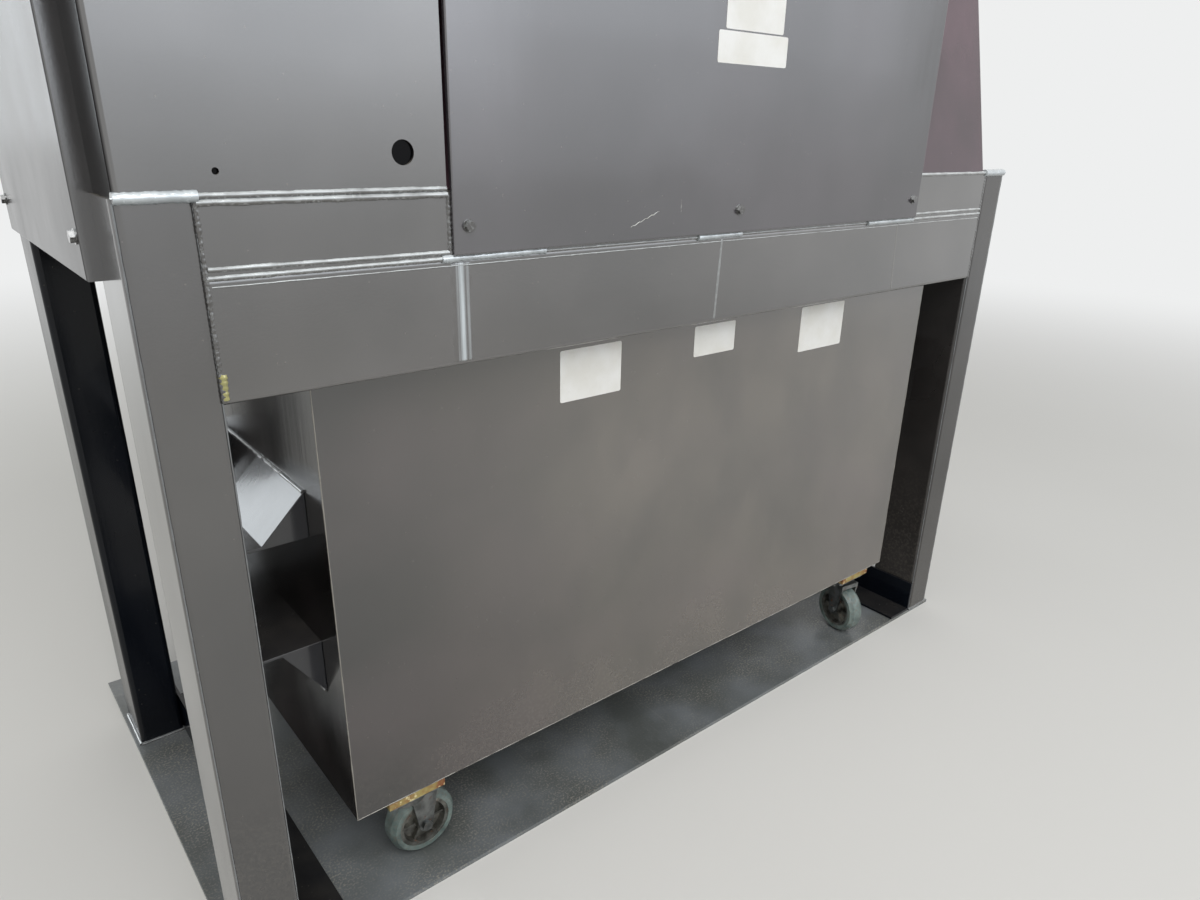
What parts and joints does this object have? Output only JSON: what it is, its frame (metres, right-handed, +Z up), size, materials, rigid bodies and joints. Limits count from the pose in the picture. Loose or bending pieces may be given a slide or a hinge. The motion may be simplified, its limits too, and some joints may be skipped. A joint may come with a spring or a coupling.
{
  "type": "vertical waste compactor with rolling container",
  "caption": "Black steel vertical waste compactor on square legs, with a hydraulic ram over a castered steel container that rolls out at the loading side.",
  "frame": {"origin": "underside of the floor plate, midway between the four legs", "axes": "+Z up, +Y from the covered rear side towards the loading side, +X along the rear side to the right as seen from the rear"},
  "size_m": [2.3254, 1.2114, 3.541],
  "materials": {
    "black_enamel": "gloss",
    "black_floor": "satin",
    "zinc_bolts": "satin",
    "bright_steel": "satin",
    "chrome_rod": "polished",
    "nylon": "matte",
    "grey_motor": "satin",
    "valve_metal": "satin",
    "grey_box": "satin",
    "green_plastic": "gloss",
    "red_plastic": "gloss",
    "caster_steel": "satin",
    "cast_hub": "satin",
    "teal_tyre": "satin"
  },
  "bodies": {
    "frame": {"floor_plate": "black_floor", "guide_left": "black_floor", "guide_right": "black_floor", "leg_rear_left": "black_enamel", "leg_rear_right": "black_enamel", "leg_front_left": "black_enamel", "leg_front_right": "black_enamel", "rear_channel": "black_enamel", "rear_beam": "black_enamel", "band_left": "black_enamel", "band_right": "black_enamel", "side_rails": "black_enamel", "front_header": "black_enamel", "side_wall_left": "black_enamel", "side_wall_right": "black_enamel", "rear_wall": "black_enamel", "front_wall": "black_enamel", "roof_plate": "black_enamel", "enclosure_panel": "black_enamel", "cover_frame": "black_enamel", "service_cover": "black_enamel", "side_cover": "black_enamel", "cover_bolts": "zinc_bolts", "ram_guides": "black_enamel", "cylinder_tower": "black_enamel", "cylinder_barrel": "black_enamel", "barrel_pin": "bright_steel", "oil_tank": "black_enamel", "pump_motor": "grey_motor", "valve_block": "valve_metal", "oil_lines": "bright_steel", "control_box": "grey_box", "hinge_pins": "bright_steel"},
    "ram": {"ram": "black_enamel", "ram_shoes": "nylon", "cylinder_rod": "chrome_rod", "rod_pin": "bright_steel"},
    "loading_door": {"loading_door": "black_enamel"},
    "door_latch": {"door_latch": "black_enamel"},
    "control_lid": {"control_lid": "grey_box"},
    "start_button": {"start_button": "green_plastic"},
    "stop_button": {"stop_button": "red_plastic"},
    "key_switch": {"key_switch": "bright_steel"},
    "container": {"container_body": "black_enamel", "pocket_left": "black_enamel", "pocket_right": "black_enamel", "front_fittings": "black_enamel", "caster_plates": "caster_steel"},
    "hold_latch_left": {"hold_latch_left": "black_enamel"},
    "hold_latch_right": {"hold_latch_right": "black_enamel"},
    "swivel_left": {"swivel_fork_left": "caster_steel"},
    "swivel_right": {"swivel_fork_right": "caster_steel"},
    "wheel_rear_left": {"wheel_hub_rear_left": "cast_hub", "tyre_rear_left": "teal_tyre"},
    "wheel_rear_right": {"wheel_hub_rear_right": "cast_hub", "tyre_rear_right": "teal_tyre"},
    "wheel_front_left": {"wheel_hub_front_left": "cast_hub", "tyre_front_left": "teal_tyre"},
    "wheel_front_right": {"wheel_hub_front_right": "cast_hub", "tyre_front_right": "teal_tyre"}
  },
  "joints": [
    {"name": "container_roll", "type": "slide", "parent": "frame", "child": "container", "axis": [0, 1, 0], "range_m": [0, 1.25]},
    {"name": "ram_stroke", "type": "slide", "parent": "frame", "child": "ram", "axis": [0, 0, -1], "range_m": [0, 0.92]},
    {"name": "door_swing", "type": "hinge", "parent": "frame", "child": "loading_door", "pos_m": [0.922, 0.531, 1.747], "axis": [0, 0, -1], "range_deg": [0, 110]},
    {"name": "door_latch_turn", "type": "hinge", "parent": "loading_door", "child": "door_latch", "pos_m": [-0.85, 0.538, 1.8], "axis": [0, 1, 0], "range_deg": [0, 90]},
    {"name": "control_lid_swing", "type": "hinge", "parent": "frame", "child": "control_lid", "pos_m": [-1.041, 0.5795, 1.525], "axis": [0, 0, 1], "range_deg": [0, 110]},
    {"name": "start_press", "type": "slide", "parent": "control_lid", "child": "start_button", "axis": [0, -1, 0], "range_m": [0, 0.004], "stiffness_N_per_m": 600},
    {"name": "stop_press", "type": "slide", "parent": "control_lid", "child": "stop_button", "axis": [0, -1, 0], "range_m": [0, 0.005], "stiffness_N_per_m": 800},
    {"name": "key_turn", "type": "hinge", "parent": "control_lid", "child": "key_switch", "pos_m": [-0.975, 0.586, 1.465], "axis": [0, 1, 0], "range_deg": [0, 90]},
    {"name": "hold_latch_left_swing", "type": "hinge", "parent": "frame", "child": "hold_latch_left", "pos_m": [-1.09, 0.506, 1.215], "axis": [0, -1, 0], "range_deg": [0, 90]},
    {"name": "hold_latch_right_swing", "type": "hinge", "parent": "frame", "child": "hold_latch_right", "pos_m": [1.09, 0.506, 1.215], "axis": [0, 1, 0], "range_deg": [0, 90]},
    {"name": "swivel_left_turn", "type": "hinge", "parent": "container", "child": "swivel_left", "pos_m": [-0.764, -0.3825, 0.175], "axis": [0, 0, 1], "continuous": true},
    {"name": "swivel_right_turn", "type": "hinge", "parent": "container", "child": "swivel_right", "pos_m": [0.764, -0.3825, 0.175], "axis": [0, 0, 1], "continuous": true},
    {"name": "wheel_rear_left_spin", "type": "hinge", "parent": "swivel_left", "child": "wheel_rear_left", "pos_m": [-0.734, -0.3825, 0.0865], "axis": [0, 1, 0], "continuous": true},
    {"name": "wheel_rear_right_spin", "type": "hinge", "parent": "swivel_right", "child": "wheel_rear_right", "pos_m": [0.75879, -0.41204, 0.0865], "axis": [0.9848, -0.1736, 0], "continuous": true},
    {"name": "wheel_front_left_spin", "type": "hinge", "parent": "container", "child": "wheel_front_left", "pos_m": [-0.764, 0.3825, 0.0865], "axis": [-1, 0, 0], "continuous": true},
    {"name": "wheel_front_right_spin", "type": "hinge", "parent": "container", "child": "wheel_front_right", "pos_m": [0.764, 0.3825, 0.0865], "axis": [-1, 0, 0], "continuous": true}
  ]
}
